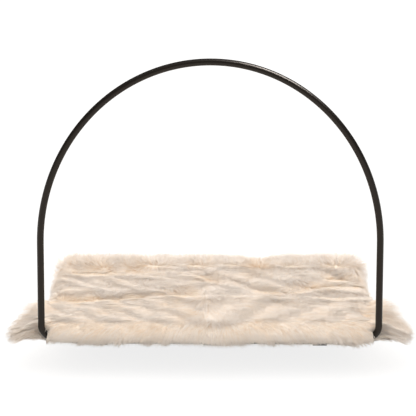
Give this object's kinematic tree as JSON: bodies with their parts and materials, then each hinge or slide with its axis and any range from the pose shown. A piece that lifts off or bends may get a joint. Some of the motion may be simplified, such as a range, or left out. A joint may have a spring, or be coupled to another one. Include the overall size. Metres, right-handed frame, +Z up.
{
  "type": "cat window hammock",
  "caption": "Padded cat bed on a bent steel tube frame that hangs from window suction cups, with a fur cover and a tall tube arch that folds down to prop the bed.",
  "frame": {"origin": "middle of the row of suction cups, on the plane of the window glass", "axes": "+Y into the glass, -Y into the room, +Z up, +X along the bed's length"},
  "size_m": [0.666, 0.3805, 0.5623],
  "materials": {
    "powder_coat": "satin near-black powder coat",
    "zinc_steel": "zinc plated",
    "black_nylon": "moulded nylon",
    "clear_rubber": "smooth milky clear rubber",
    "dark_canvas": "plain woven canvas",
    "white_foam": "open foam in a thin slip",
    "cream_fur": "long cream faux fur",
    "dark_elastic": "knitted elastic"
  },
  "bodies": {
    "bed": {"frame_front_tube": "powder_coat", "frame_rear_tube": "powder_coat", "frame_splice_left": "zinc_steel", "frame_splice_right": "zinc_steel", "pivot_clip_left": "black_nylon", "pivot_clip_middle": "black_nylon", "pivot_clip_right": "black_nylon", "sling": "dark_canvas", "foam_pad": "white_foam", "fur_cover": "cream_fur", "cover_strap_front": "dark_elastic", "cover_strap_rear": "dark_elastic"},
    "arch": {"arch_tube": "powder_coat", "arch_splice_pin": "zinc_steel"},
    "cup_1": {"cup_holder_1": "black_nylon", "suction_cup_1": "clear_rubber", "cup_stud_1": "zinc_steel", "cup_washer_1": "zinc_steel"},
    "knob_1": {"cup_knob_1": "black_nylon"},
    "cup_2": {"cup_holder_2": "black_nylon", "suction_cup_2": "clear_rubber", "cup_stud_2": "zinc_steel", "cup_washer_2": "zinc_steel"},
    "knob_2": {"cup_knob_2": "black_nylon"},
    "cup_3": {"cup_holder_3": "black_nylon", "suction_cup_3": "clear_rubber", "cup_stud_3": "zinc_steel", "cup_washer_3": "zinc_steel"},
    "knob_3": {"cup_knob_3": "black_nylon"},
    "cup_4": {"cup_holder_4": "black_nylon", "suction_cup_4": "clear_rubber", "cup_stud_4": "zinc_steel", "cup_washer_4": "zinc_steel"},
    "knob_4": {"cup_knob_4": "black_nylon"}
  },
  "joints": [
    {"name": "arch_fold", "type": "hinge", "parent": "bed", "child": "arch", "pos_m": [0, -0.36, 0.0253], "axis": [1, 0, 0], "range_deg": [0, 225.6]},
    {"name": "cup_swivel_1", "type": "hinge", "parent": "bed", "child": "cup_1", "pos_m": [-0.2, -0.038, 0.016], "axis": [1, 0, 0], "range_deg": [-6, 6]},
    {"name": "knob_turn_1", "type": "hinge", "parent": "cup_1", "child": "knob_1", "pos_m": [-0.2, -0.0518, 0], "axis": [0, 1, 0], "continuous": true},
    {"name": "cup_swivel_2", "type": "hinge", "parent": "bed", "child": "cup_2", "pos_m": [-0.07, -0.038, 0.016], "axis": [1, 0, 0], "range_deg": [-6, 6]},
    {"name": "knob_turn_2", "type": "hinge", "parent": "cup_2", "child": "knob_2", "pos_m": [-0.07, -0.0518, 0], "axis": [0, 1, 0], "continuous": true},
    {"name": "cup_swivel_3", "type": "hinge", "parent": "bed", "child": "cup_3", "pos_m": [0.07, -0.038, 0.016], "axis": [1, 0, 0], "range_deg": [-6, 6]},
    {"name": "knob_turn_3", "type": "hinge", "parent": "cup_3", "child": "knob_3", "pos_m": [0.07, -0.0518, 0], "axis": [0, 1, 0], "continuous": true},
    {"name": "cup_swivel_4", "type": "hinge", "parent": "bed", "child": "cup_4", "pos_m": [0.2, -0.038, 0.016], "axis": [1, 0, 0], "range_deg": [-6, 6]},
    {"name": "knob_turn_4", "type": "hinge", "parent": "cup_4", "child": "knob_4", "pos_m": [0.2, -0.0518, 0], "axis": [0, 1, 0], "continuous": true}
  ]
}
